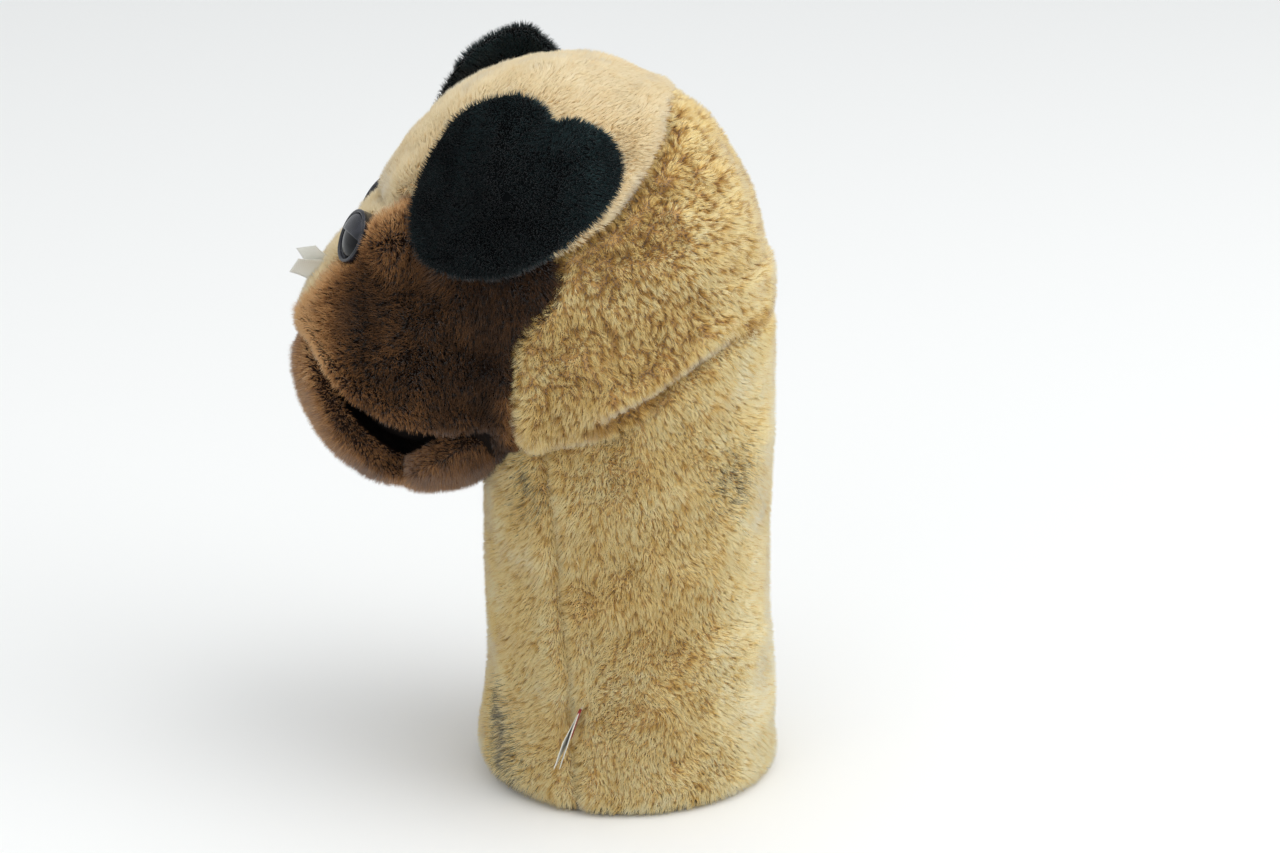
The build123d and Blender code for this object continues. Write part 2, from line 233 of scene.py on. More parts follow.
def line_distance(p, points):
    """How far each point is from a line of (y, z) points, seen from the side, and how far along."""
    best = np.full(len(p), 1e9)
    along = np.zeros(len(p))
    yz = p[:, 1:]
    run = 0.0
    for a, b in zip(np.array(points[:-1], float), np.array(points[1:], float)):
        step = b - a
        size = np.linalg.norm(step)
        t = np.clip((yz - a) @ step / size**2, 0, 1)
        gap = np.linalg.norm(yz - a - t[:, None] * step, axis=1)
        near = gap < best
        best[near] = gap[near]
        along[near] = run + t[near] * size
        run += size
    return best, along / run


SIDE_FOLD = [(-8, 173), (6, 180), (18, 186), (30, 192), (42, 199), (52, 205)]
# creases: their points, how deep they are and how wide
CHEEK_CREASES = [([(-20, 212), (-6, 216), (10, 214)], 1.6, 5.0),
                 ([(2, 232), (18, 226), (34, 228)], 1.2, 6.0),
                 ([(-24, 240), (-6, 240), (12, 246)], 1.4, 4.0)]
CROWN_CREASES = [([(-8, 300), (4, 299), (16, 297)], 1.6, 2.4),
                 ([(12, 312), (16, 303), (16, 296)], 1.4, 2.2),
                 ([(-30, 309), (-12, 305), (4, 306)], 0.9, 5.0)]


def eye_gap(p):
    """How far each point is from the middle of the nearer eye."""
    return np.linalg.norm(both_sides(p) - EYE_AT, axis=1)


def head_relief(p):
    """How far the head's cloth stands in or out of its smooth form."""
    x, y, z = p.T
    brown = brown_field(p)
    crown = crown_field(p)
    side = smoothstep((np.abs(x) - 10) / 20)
    tan_side = (brown < 0) & (crown < 0)
    d = 0.6 * noise(p, 26, 3) + 0.25 * noise(p, 11, 4)
    d += np.where(tan_side, 0.9 * noise(p, 17, 5) + 0.6 * noise(p, 7, 6), 1.2)
    d += -2.4 * bump(brown, 2.2)
    roll = side * smoothstep((206 - z) / 30)
    d += np.where(brown < 0, (1.4 + 1.6 * roll) * bump(brown + 7, 6) * side,
                  1.4 * roll * bump(brown - 5, 3.5))
    ear_side = side * smoothstep((308 - z) / 30)
    d += (brown < 0) * ear_side * (2.4 * bump(crown - 5, 5) - 3.4 * bump(crown + 4, 4.5))
    d += -1.6 * bump(bridge_field(p), 2.4) * (brown > -3) * (z > 186)
    gap, along = line_distance(p, SIDE_FOLD)
    deep = smoothstep(along / 0.2) * smoothstep((1 - along) / 0.3) * (brown < 0) * side
    d += deep * (-8.5 * bump(gap, 4.6) + 2.8 * bump(gap - 10, 5))
    for points, depth, width in CHEEK_CREASES + CROWN_CREASES:
        gap, along = line_distance(p, points)
        d -= depth * bump(gap, width) * np.sin(pi * along).clip(0) * side
    d += 2.0 * noise(p, 6, 8) * ear_side * bump(crown + 22, 20) * (brown < 0)
    lip = z - lip_height(y)
    d += 1.8 * bump(lip - 5, 4) * (brown > 4) * side
    d -= 3.0 * smoothstep((EYE_R + 2 - eye_gap(p)) / 4)
    d += 1.2 * bump(x, 15) * bump(z - 246, 12) * (y < -60)
    muzzle_front = smoothstep((-120 - y) / 10) * bump(z - 202, 16)
    d += 2.0 * bump(np.abs(x) - 19, 10) * muzzle_front
    return d


def grid_quads(rows, columns):
    """The quads of a grid of points, and the points round its edge in order."""
    grid = np.arange(rows * columns).reshape(rows, columns)
    quads = np.stack([grid[:-1, :-1], grid[1:, :-1], grid[1:, 1:], grid[:-1, 1:]], -1)
    edge = np.concatenate([grid[0], grid[1:, -1], grid[-1, ::-1][1:], grid[::-1, 0][1:-1]])
    return quads.reshape(-1, 4), edge


def cube_sphere(n):
    """Unit directions on a cube's grid blown up to a ball, and the grid's quads."""
    line = np.tan(np.linspace(-1, 1, n + 1) * pi / 4)
    a, b = np.meshgrid(line, line, indexing="ij")
    quads, _ = grid_quads(n + 1, n + 1)
    points, faces = [], []
    for axis in range(3):
        for sign in (-1, 1):
            block = np.zeros((n + 1, n + 1, 3))
            block[..., axis] = sign
            block[..., (axis + 1) % 3] = a
            block[..., (axis + 2) % 3] = b
            faces.append((quads if sign > 0 else quads[:, ::-1]) + len(points) * (n + 1) ** 2)
            points.append(block.reshape(-1, 3))
    points = unit(np.concatenate(points))
    _, first, inverse = np.unique(points.round(6), axis=0, return_index=True, return_inverse=True)
    return points[first], inverse.reshape(-1)[np.concatenate(faces)]


def vertex_normals(v, f):
    """Smooth normals of a mesh of quads or triangles."""
    cross = np.cross(v[f[:, 2]] - v[f[:, 0]], v[f[:, -1]] - v[f[:, 1]])
    n = np.zeros_like(v)
    for corner in range(f.shape[1]):
        np.add.at(n, f[:, corner], cross)
    return unit(n)


def snap(v, f, values):
    """Slides the vertices next to a field's zero line onto it, so that a cut along it is clean."""
    edges = np.concatenate([f[:, [i, (i + 1) % f.shape[1]]] for i in range(f.shape[1])])
    a, b = edges[:, 0], edges[:, 1]
    crossing = values[a] * values[b] < 0
    a, b = a[crossing], b[crossing]
    t = values[a] / (values[a] - values[b])
    near = t < 0.5
    mover = np.where(near, a, b)
    target = v[a] + t[:, None] * (v[b] - v[a])
    v = v.copy()
    v[mover] = target
    return v


# ---- meshes
def mesh_from(name, v, faces):
    """A mesh object from points in millimetres and one or more arrays of faces."""
    faces = faces if isinstance(faces, (list, tuple)) else [faces]
    mesh = bpy.data.meshes.new(name)
    loops = np.concatenate([f.reshape(-1) for f in faces])
    sizes = np.concatenate([np.full(len(f), f.shape[1]) for f in faces])
    starts = np.concatenate([[0], np.cumsum(sizes)[:-1]])
    mesh.vertices.add(len(v))
    mesh.vertices.foreach_set("co", (np.asarray(v) * MM).astype(np.float32).ravel())
    mesh.loops.add(len(loops))
    mesh.loops.foreach_set("vertex_index", loops.astype(np.int32))
    mesh.polygons.add(len(sizes))
    mesh.polygons.foreach_set("loop_start", starts.astype(np.int32))
    mesh.update(calc_edges=True)
    mesh.validate()
    mesh.polygons.foreach_set("use_smooth", np.ones(len(mesh.polygons), bool))
    obj = bpy.data.objects.new(name, mesh)
    scene.collection.objects.link(obj)
    return obj


def cut_out(v, f, keep):
    """Only the kept faces, with only the points that they use, and which points those are."""
    f = f[keep]
    used, inverse = np.unique(f, return_inverse=True)
    return v[used], inverse.reshape(f.shape), used


def shell(name, v, f, n, thickness):
    """A closed panel of cloth: its outer face, the same face further in, and a wall between."""
    count = len(v)
    edges = np.concatenate([f[:, [i, (i + 1) % 4]] for i in range(4)])
    key = np.sort(edges, axis=1) @ np.array([count, 1])
    _, index, times = np.unique(key, return_index=True, return_counts=True)
    rim = edges[index[times == 1]]
    wall = np.stack([rim[:, 1], rim[:, 0], rim[:, 0] + count, rim[:, 1] + count], axis=1)
    faces = np.concatenate([f, f[:, ::-1] + count, wall])
    return mesh_from(name, np.concatenate([v, v - n * thickness]), faces)


def leaf(name, front, back, flip=False):
    """A closed thin piece between two grids of points."""
    quads, edge = grid_quads(*front.shape[:2])
    count = front.shape[0] * front.shape[1]
    ahead = np.roll(edge, -1)
    wall = np.stack([edge, ahead, ahead + count, edge + count], axis=1)
    faces = np.concatenate([quads, quads[:, ::-1] + count, wall])
    points = np.concatenate([front.reshape(-1, 3), back.reshape(-1, 3)])
    return mesh_from(name, points, faces[:, ::-1] if flip else faces)


def turn_over(f, caps):
    """The same faces seen from the other side."""
    return f[:, ::-1], [cap[:, ::-1] for cap in caps]


# ---- materials
def new_material(name, color, roughness, **sockets):
    """A principled material of one screen colour, and its shader node."""
    material = bpy.data.materials.new(name)
    material.use_nodes = True
    shader = material.node_tree.nodes["Principled BSDF"]
    for socket, value in dict(sockets, Base_Color=srgb(*color), Roughness=roughness).items():
        shader.inputs[socket.replace("_", " ")].default_value = value
    return material, shader


def add_node(material, kind, **sockets):
    """A shader node with some of its sockets set; a texture is laid out on the object itself."""
    nodes = material.node_tree.nodes
    node = nodes.new("ShaderNode" + kind)
    for socket, value in sockets.items():
        node.inputs[socket.replace("_", " ")].default_value = value
    if kind.startswith("Tex"):
        place = nodes.new("ShaderNodeTexCoord").outputs["Object"]
        material.node_tree.links.new(place, node.inputs["Vector"])
    return node


def two_tone(material, shader, mix, colors, stops, height, strength, distance):
    """Colours a surface between two colours by one output, and raises it by another."""
    ramp = add_node(material, "ValToRGB")
    for element, stop, color in zip(ramp.color_ramp.elements, stops, colors):
        element.position, element.color = stop, srgb(*color)
    relief = add_node(material, "Bump", Strength=strength, Distance=distance)
    links = material.node_tree.links
    links.new(mix, ramp.inputs["Fac"])
    links.new(ramp.outputs["Color"], shader.inputs["Base Color"])
    links.new(height, relief.inputs["Height"])
    links.new(relief.outputs["Normal"], shader.inputs["Normal"])


def backing(name, dark, light, sheen=0.2):
    """Knitted backing cloth between the fibres: patches of two colours under a fine knit."""
    material, shader = new_material(name, light, 0.95, Specular_IOR_Level=0.1, Sheen_Weight=sheen)
    patch = add_node(material, "TexNoise", Scale=60, Detail=6).outputs["Fac"]
    knit = add_node(material, "TexVoronoi", Scale=1040).outputs["Distance"]
    two_tone(material, shader, patch, (dark, light), (0.35, 0.7), knit, 0.5, 0.0006)
    return material


def mottled(name, dark, light, roughness, scale, relief, **sockets):
    """Moulded plastic: two close colours in patches, with fine wear in the surface."""
    material, shader = new_material(name, light, roughness, **sockets)
    patch = add_node(material, "TexNoise", Scale=scale, Detail=5).outputs["Fac"]
    rough = add_node(material, "MapRange", To_Min=max(roughness - 0.06, 0.02), To_Max=roughness + 0.1)
    material.node_tree.links.new(patch, rough.inputs["Value"])
    material.node_tree.links.new(rough.outputs["Result"], shader.inputs["Roughness"])
    two_tone(material, shader, patch, (dark, light), (0.35, 0.68), patch, relief, 0.0003)
    return material


def woven(name, dark, light, threads, roughness, relief=0.5, **sockets):
    """Plain woven cloth or ribbon: crossing threads with slight colour changes."""
    material, shader = new_material(name, light, roughness, **sockets)
    cross = add_node(material, "Math")
    cross.operation = "MULTIPLY"
    for direction, socket in zip(("Z", "DIAGONAL"), cross.inputs):
        wave = add_node(material, "TexWave", Scale=threads, Distortion=0.6)
        wave.bands_direction = direction
        material.node_tree.links.new(wave.outputs["Fac"], socket)
    threads_up = cross.outputs["Value"]
    two_tone(material, shader, threads_up, (dark, light), (0, 1), threads_up, relief, 0.0002)
    return material


def shades(name, colors, sheen=0.35):
    """The shades of one kind of pile: dull, with the soft glow of fibre ends at a glancing angle."""
    return [new_material(f"{name}_pile_{i}", c, 0.95, Specular_IOR_Level=0.15,
                         Sheen_Weight=sheen, Sheen_Roughness=0.45)[0] for i, c in enumerate(colors)]


TAN = shades("tan", [(182, 138, 68), (214, 174, 98), (237, 203, 128), (249, 223, 156), (254, 236, 181),
                     (255, 244, 204)], 0.5)
CREAM = shades("cream", [(196, 162, 108), (222, 191, 139), (236, 212, 165), (244, 226, 186), (251, 236, 201),
                         (255, 244, 216)], 0.4)
STAIN = shades("grey", [(96, 92, 78), (144, 134, 110)])
BROWN = shades("brown", [(56, 38, 24), (84, 58, 37), (116, 81, 50), (152, 108, 67), (192, 144, 94),
                         (222, 178, 126)], 0.25)
BLACK = shades("black", [(9, 15, 17), (17, 29, 31), (28, 46, 48), (50, 72, 73)], 0.2)

# each backing is its cloth's colour set darker than its pile, as painted shade at the fibres' roots
TAN_CLOTH = backing("tan_backing", (196, 154, 92), (230, 194, 132))
CREAM_CLOTH = backing("cream_backing", (214, 182, 130), (238, 210, 162))
BROWN_CLOTH = backing("brown_backing", (22, 13, 8), (44, 28, 18), 0)
BLACK_CLOTH = backing("black_backing", (4, 6, 7), (12, 16, 18), 0)
MOUTH_CLOTH = backing("mouth_cloth", (14, 10, 8), (22, 15, 11), 0)


# ---- pile
MOST_FIBRES = 45000  # in one piece
FIBRE_FLOOR = 0.4  # the lowest fibres splay on what the cover stands on
FIBRE_ROOT = 0.6  # how far a fibre's foot is sunk in the cloth

# how one kind of plush is made: fibres per square millimetre, sizes in millimetres, how they lie
Coat = namedtuple("Coat", "density length width lean tuft pull mess comb shades pick")


def grow(name, v, f, n, coat, attach, keep=None, trim=None):
    """A coat of real, closed fibres on a surface, each a three-sided spike that leans with the nap.

    attach(piece) puts each finished piece on its body; trim(points) is each fibre's share of the length.
    """
    rng = np.random.default_rng(sum(ord(c) * (i + 3) for i, c in enumerate(name)))
    triangles = np.concatenate([f[:, [0, 1, 2]], f[:, [0, 2, 3]]])
    a, b, c = v[triangles[:, 0]], v[triangles[:, 1]], v[triangles[:, 2]]
    areas = np.linalg.norm(np.cross(b - a, c - a), axis=1) / 2
    density, width = ((coat.density, coat.width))
    count = int(areas.sum() * density)
    chosen = rng.choice(len(triangles), count, p=areas / areas.sum())
    r1, r2 = np.sqrt(rng.random(count)), rng.random(count)
    weights = np.stack([1 - r1, r1 * (1 - r2), r1 * r2], axis=1)
    corners = triangles[chosen]
    root = (v[corners] * weights[..., None]).sum(1)
    normal = unit((n[corners] * weights[..., None]).sum(1))
    if keep is not None:
        stay = keep(root, rng)
        root, normal = root[stay], normal[stay]
    order = np.argsort(np.arctan2(root[:, 0], -root[:, 1]))
    root, normal = root[order], normal[order]
    count = len(root)
    flow = coat.comb(root) + 0.7 * swirl(root, 18, 21) + 0.45 * swirl(root, 6, 31)
    flow -= normal * (flow * normal).sum(1, keepdims=True)
    size = (coat.length * (0.8 + 0.3 * rng.random(count)))[:, None]
    if trim is not None:
        size = size * trim(root)[:, None]
    gather = tuft_pull(root + 0.5 * swirl(root, 4, 41) * coat.tuft, coat.tuft, 7)
    gather -= normal * (gather * normal).sum(1, keepdims=True)
    parting = np.linalg.norm(gather, axis=1) / coat.tuft
    way = normal * sqrt(max(1 - coat.lean**2, 0.1)) + coat.lean * flow
    way = way + coat.mess * rng.normal(size=(count, 3))
    tip = root + unit(way) * size + gather * coat.pull
    tip[:, 2] = np.maximum(tip[:, 2], FIBRE_FLOOR)
    way = unit(tip - root)
    across = unit(np.cross(way, rng.normal(size=(count, 3))))
    other = np.cross(way, across)
    radius = (width / 2 * (0.75 + 0.5 * rng.random(count)))[:, None]
    foot = [root - normal * FIBRE_ROOT + radius * (cos(t) * across + sin(t) * other)
            for t in (0, 2 * pi / 3, 4 * pi / 3)]
    points = np.stack(foot + [tip], axis=1)
    numbers = np.round(coat.pick(root, rng, parting))
    numbers = np.clip(numbers, 0, len(coat.shades) - 1).astype(np.int32)
    parts = -(-count // MOST_FIBRES)
    for part in range(parts):
        here = slice(part * count // parts, (part + 1) * count // parts)
        some = points[here].reshape(-1, 3)
        first = np.arange(len(some) // 4)[:, None] * 4
        faces = (first[:, None] + np.array([[0, 1, 3], [1, 2, 3], [2, 0, 3], [2, 1, 0]])).reshape(-1, 3)
        obj = mesh_from(name if parts == 1 else f"{name}_{part + 1}", some, faces)
        for shade in coat.shades:
            obj.data.materials.append(shade)
        obj.data.polygons.foreach_set("material_index", np.repeat(numbers[here], 4))
        attach(obj)


def soft_shade(p, rng, parting, middle, spread, dark, scatter=0.35, start=0.4):
    """Soft patches round a middle shade, with painted shade in the partings between tufts."""
    patches = 0.9 * noise(p, 32, 51) + 0.8 * noise(p, 10, 52) + 0.6 * noise(p, 4, 53)
    # dark sets how deep the painted shade in the partings is
    shade = middle + spread * patches - dark * smoothstep((parting - start) / 0.3)
    return shade + scatter * rng.normal(size=len(p))


# grey stains of handling on the neck: their middles and sizes
STAINS = [((34, -51, 20), 12), ((38, -46, 9), 9), ((36, 50, 142), 10), ((46, -40, 138), 8),
          ((30, -54, 34), 7)]


def neck_pick(p, rng, parting):
    """Golden tan, with painted light low down and behind, and the grey stains."""
    shade = soft_shade(p, rng, parting, 3.3, 0.75, 2.0, start=0.42)
    # painted light: lighter low down and towards the back
    shade += 0.5 * smoothstep((90 - p[:, 2]) / 50) + 0.9 * smoothstep((p[:, 1] - 18) / 34)
    shade = np.minimum(shade, len(TAN) - 1)
    for place, size in STAINS:
        gap = np.linalg.norm((p - np.array(place)) * [1, 1, 0.8], axis=1)
        dirty = rng.random(len(p)) < 0.75 * bump(gap, size) * (0.7 + 0.8 * noise(p, 4, 71))
        shade = np.where(dirty, len(TAN) + (rng.random(len(p)) < 0.6), shade)
    return shade


def side_pick(p, rng, parting):
    """The sides of the head, with painted shade under the ear and along the crown's edge, in the cheek
    crease and the side fold, on the jowl, and in the partings near the ear.
    """
    y, z = p[:, 1], p[:, 2]
    shade = soft_shade(p, rng, parting, 3.5, 0.85, 2.8)
    # painted shade under the ear, along the crown's edge
    shade -= 1.3 * bump(crown_field(p) + 8, 14) * smoothstep((np.abs(p[:, 0]) - 30) / 30)
    # painted shade in the first cheek crease
    shade -= 0.8 * bump(line_distance(p, CHEEK_CREASES[0][0])[0], 9)
    # painted shade in the side fold
    shade -= 3.0 * bump(line_distance(p, SIDE_FOLD)[0], 4)
    # painted shade on the jowl under the head's overhang
    shade -= 0.8 * bump(np.hypot(y + 20, z - 184), 22)
    # painted shade in the partings of the tufts near the ear
    shade -= 2.4 * smoothstep((parting - 0.28) / 0.3) * bump(np.hypot(y - 2, z - 256), 34)
    return np.clip(shade, 0, len(TAN) - 1)


def crown_pick(p, rng, parting):
    return soft_shade(p, rng, parting, 3.0, 0.55, 0.6, 0.3)


def flew_pick(p, rng, parting):
    """Dark brown cheeks that turn light and orange at the front of the muzzle and round the eye."""
    y, z = p[:, 1], p[:, 2]
    shade = soft_shade(p, rng, parting, 1.6, 0.55, 0.9) + 2.9 * smoothstep((-102 - y) / 28)
    shade += 1.4 * smoothstep((z - 216) / 24) * smoothstep((-68 - y) / 26)
    shade += 0.9 * smoothstep((-60 - y) / 40) * smoothstep((lip_height(y) + 16 - z) / 10)
    shade += 1.5 * bump(bridge_field(p) + 4, 7) * (z > 190)
    rim = bump(brown_field(p) - 3, 4) * smoothstep((196 - z) / 14)
    return shade + 2.0 * rim - 0.8 * smoothstep((y + 66) / 16) * (1 - rim)


def jaw_pick(p, rng, parting):
    """Brown that turns reddish and light at the chin and along the lower edge."""
    shade = soft_shade(p, rng, parting, 2.5, 0.6, 0.8, 0.45)
    return shade + 1.8 * smoothstep((142 - p[:, 2]) / 16) + 1.6 * smoothstep((-104 - p[:, 1]) / 22)


def ear_pick(p, rng, parting):
    """Near black, with painted light near the ear's rear edge and along its top."""
    # painted light: lighter near the ear's rear edge and along its top
    light = 1.3 * bump(np.abs(p[:, 1] + 6), 16) + 0.9 * bump(p[:, 2] - 303, 10)
    return soft_shade(p, rng, parting, 0.9, 0.5, 0.5) + light


def combed(aside, back, up):
    """A nap that strokes one way, spreading to both sides."""
    def comb(p):
        return np.stack([aside * np.sign(p[:, 0]), np.full(len(p), back), np.full(len(p), up)], axis=1)
    return comb


DOWN, OVER_THE_HEAD = combed(0, 0, -0.5), combed(0, 0.8, -0.15)
FROM_THE_NOSE, OVER_THE_CHIN = combed(0.1, 0.5, -0.25), combed(0.1, -0.35, -0.5)

NECK_COAT = Coat(3.9, 4.9, 0.42, 0.6, 3.0, 0.42, 0.09, DOWN, TAN + STAIN, neck_pick)
SIDE_COAT = Coat(3.9, 4.9, 0.42, 0.55, 3.6, 0.62, 0.1, DOWN, TAN, side_pick)
CROWN_COAT = Coat(4.2, 4.2, 0.5, 0.8, 1.8, 0.3, 0.06, OVER_THE_HEAD, CREAM, crown_pick)
FLEW_COAT = Coat(3.4, 5.6, 0.46, 0.62, 2.8, 0.5, 0.12, FROM_THE_NOSE, BROWN, flew_pick)
JAW_COAT = Coat(3.4, 6.2, 0.46, 0.5, 2.6, 0.45, 0.16, OVER_THE_CHIN, BROWN, jaw_pick)
EAR_COAT = Coat(4.4, 3.2, 0.4, 0.6, 1.8, 0.35, 0.12, FROM_THE_NOSE, BLACK, ear_pick)


# ---- camera, light and floor
def add_object(name, data):
    """A new object in the scene, turned by quaternion."""
    obj = bpy.data.objects.new(name, data)
    obj.rotation_mode = "QUATERNION"
    scene.collection.objects.link(obj)
    return obj


CAMERA_FAR, CAMERA_HIGH, CAMERA_TURN, CAMERA_PITCH = 1.6, 0.71, radians(5.0), radians(19.25)
AIM = 0.0029  # the camera looks a little behind the sleeve's axis
camera = add_object("camera", bpy.data.cameras.new("camera"))
camera.data.lens = 113.8
camera.location = (CAMERA_FAR * cos(CAMERA_TURN), CAMERA_FAR * sin(CAMERA_TURN), CAMERA_HIGH)
heading = Vector((-cos(CAMERA_TURN - AIM), -sin(CAMERA_TURN - AIM), 0)) * cos(CAMERA_PITCH)
heading -= Vector((0, 0, sin(CAMERA_PITCH)))
camera.rotation_quaternion = heading.to_track_quat("-Z", "Y")
scene.camera = camera

LIGHTS_AIM = Vector((0, 0, 0.16))


def soft_light(name, place, size, watts):
    """A round soft light that looks at the cover's middle."""
    lamp = add_object(name, bpy.data.lights.new(name, "AREA"))
    lamp.data.shape = "DISK"
    lamp.data.size = size
    lamp.data.energy = watts
    lamp.location = place
    lamp.rotation_quaternion = (LIGHTS_AIM - Vector(place)).to_track_quat("-Z", "Y")


soft_light("key", (0.5, 1.3, 2.2), 2.4, 22)
soft_light("top", (0.1, -0.1, 2.6), 2.6, 16)
soft_light("fill", (1.9, -0.8, 0.9), 2.0, 7)
soft_light("rear", (0.7, 2.0, 0.8), 1.8, 14)

world = bpy.data.worlds.new("studio")
world.use_nodes = True
sky = world.node_tree.nodes["Background"].inputs
sky["Color"].default_value = (0.97, 0.985, 1.0, 1)
sky["Strength"].default_value = 0.68
scene.world = world
scene.view_settings.view_transform = "Standard"

floor_points = 9000.0 * np.array([[-1, -1, 0], [1, -1, 0], [1, 1, 0], [-1, 1, 0]])
floor = mesh_from("studio_floor", floor_points, np.array([[0, 1, 2, 3]]))
floor.data.materials.append(new_material("studio_floor", (240, 241, 240), 0.7)[0])

# ---- the head
HEAD_GRID = 96
MARCH_STEPS, MARCH_SHARE = 70, 0.85
rays, head_quads = cube_sphere(HEAD_GRID)
reach = np.full(len(rays), 150.0)
for _ in range(MARCH_STEPS):
    reach -= MARCH_SHARE * head_distance(HEART + rays * reach[:, None])
head_points = HEART + rays * reach[:, None]
for field in (brown_field, crown_field, bridge_field):
    head_points = snap(head_points, head_quads, field(head_points))
head_normals = vertex_normals(head_points, head_quads)
head_points = head_points + head_normals * head_relief(head_points)[:, None]
head_normals = vertex_normals(head_points, head_quads)

middles = head_points[head_quads].mean(1)
x, y, z = middles.T
in_bore = (np.hypot(x, y) < BORE_CLEAR_R) & (z < 205)
is_brown = brown_field(middles) > 0
is_bridge = (bridge_field(middles) > 0) & (z > 190)
is_crown = (crown_field(middles) > 0) & ~is_brown
is_mouth = is_brown & (z < lip_height(y) - 1) & (y < -52)
left = x > 0
panels = {
    "crown": is_crown & ~is_bridge,
    "bridge": is_bridge & ~is_mouth,
    "left_side": ~is_brown & ~is_crown & left,
    "right_side": ~is_brown & ~is_crown & ~left,
    "left_flew": is_brown & ~is_bridge & ~is_mouth & left,
    "right_flew": is_brown & ~is_bridge & ~is_mouth & ~left,
    "mouth": is_mouth,
}


def under_ear(p, rng):
    """Fibres under an ear are left out, but for a few."""
    covered = ((p[:, 1] + 42) / 36) ** 2 + ((p[:, 2] - 264) / 25) ** 2 < 1
    return ~(covered & (np.abs(p[:, 0]) > 40)) | (rng.random(len(p)) < 0.4)


def eye_trim(p):
    """The pile is short beside the eyes."""
    return 0.15 + 0.85 * smoothstep((eye_gap(p) - EYE_R + 1.5) / 4.5)


def lip_trim(p):
    """The pile is shorter along the lip and beside the eyes."""
    return (0.5 + 0.5 * smoothstep((p[:, 2] - lip_height(p[:, 1])) / 9)) * eye_trim(p)


LOOKS = {  # cloth, coat, slot, trim and the CAD nodes that each panel stands for
    "crown": (CREAM_CLOTH, CROWN_COAT, "crown_plush", eye_trim,
              ["crown_panel", "left_head_padding", "right_head_padding"]),
    "bridge": (CREAM_CLOTH, CROWN_COAT, "crown_plush", eye_trim, ["bridge_panel"]),
    "left_side": (TAN_CLOTH, SIDE_COAT, "tan_plush", None, ["left_side_panel", "back_seam"]),
    "right_side": (TAN_CLOTH, SIDE_COAT, "tan_plush", None, ["right_side_panel"]),
    "left_flew": (BROWN_CLOTH, FLEW_COAT, "brown_plush", lip_trim,
                  ["left_flew_panel", "left_muzzle_stuffing"]),
    "right_flew": (BROWN_CLOTH, FLEW_COAT, "brown_plush", lip_trim,
                   ["right_flew_panel", "right_muzzle_stuffing"]),
    "mouth": (MOUTH_CLOTH, None, "mouth_cloth", None, ["mouth_roof"]),
}


def riding(body):
    """Puts a piece on one body."""
    def attach(piece):
        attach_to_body(piece, body)
    return attach


def bending(a, b, start, end, slot):
    """Bakes a piece's placement into its own points."""
    def attach(piece):
        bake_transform(piece)
    return attach


def dress(piece, material, attach):
    """Gives a piece its one material and passes it to attach."""
    piece.data.materials.append(material)
    attach(piece)


for panel, (cloth, coat, slot, trim, replaced) in LOOKS.items():
    v, f, used = cut_out(head_points, head_quads, panels[panel] & ~in_bore)
    n = head_normals[used]
    skin = shell(panel + "_cloth", v, f, n, CLOTH)
    dress(skin, cloth, riding("head"))
    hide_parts(*replaced)
    if coat:
        grow(panel + "_pile", v, f, n, coat, riding("head"), under_ear, trim)

# ---- the neck
SEAM_FOOT_Y, SEAM_LEAN = -16.0, -0.0952
HEM_H = 3.0
NECK_FOOT, NECK_TOP = HEM_H * 0.5, 208.0
NECK_ROWS = 88
NECK_BEND = ("neck", "head", (0, 0, 0.125), (0, 0, 0.175))


def seam_angle(z):
    """Where the side seams are, as an angle from the front."""
    return np.arccos(np.clip(-(SEAM_FOOT_Y + SEAM_LEAN * z) / NECK_R, -1, 1))


def neck_radius(angle, z):
    """The backing cloth's radius; angle is from the front, towards the dog's left."""
    angle = (angle + pi) % (2 * pi) - pi
    x, y = np.sin(angle) * NECK_R, -np.cos(angle) * NECK_R
    p = np.stack([x, y, z], axis=-1).reshape(-1, 3)
    r = NECK_R - PILE + np.interp(z, [0, 12, 60, 110, 150], [1.4, 1.6, -0.4, -1.0, 0.2])
    r = r + (1.3 * noise(p, 46, 61) + 0.7 * noise(p, 19, 62) + 0.4 * noise(p, 8, 63)).reshape(r.shape)
    r = r + 2.4 * bump(angle - 0.1, 0.9) * bump(z - 14, 18)
    r = r - 3.4 * bump(angle - 0.1, 0.9) * smoothstep((11 - z) / 11)
    r = r - 1.6 * bump(angle - 0.1, 0.8) * smoothstep((z - 120) / 30)
    seam_gap = (np.abs(angle) - seam_angle(z)) * NECK_R
    r = r - 2.6 * bump(seam_gap, 2.6) + 0.8 * bump(np.abs(seam_gap) - 8, 5)
    tuck = smoothstep((z - rim_height(y) + 3) / 12)
    return r - tuck * (r - BORE_CLEAR_R + 0.4)


def on_neck(r, angle, z):
    """Points round the sleeve's axis."""
    return np.stack([r * np.sin(angle), -r * np.cos(angle), z], axis=-1)


def neck_panel(first, last, columns):
    """A panel of the neck between two angles that change with height."""
    u, w = np.meshgrid(np.linspace(0, 1, columns + 1), np.linspace(0, 1, NECK_ROWS + 1), indexing="ij")
    z = NECK_FOOT + (NECK_TOP - NECK_FOOT) * w
    angle = first(z) + (last(z) - first(z)) * u
    r = neck_radius(angle, z)
    r = r - 3.0 * bump(z - NECK_FOOT, 2.5)
    return on_neck(r, angle, z).reshape(-1, 3), grid_quads(columns + 1, NECK_ROWS + 1)[0]


def below_head(p, rng):
    return p[:, 2] < rim_height(p[:, 1]) + 8


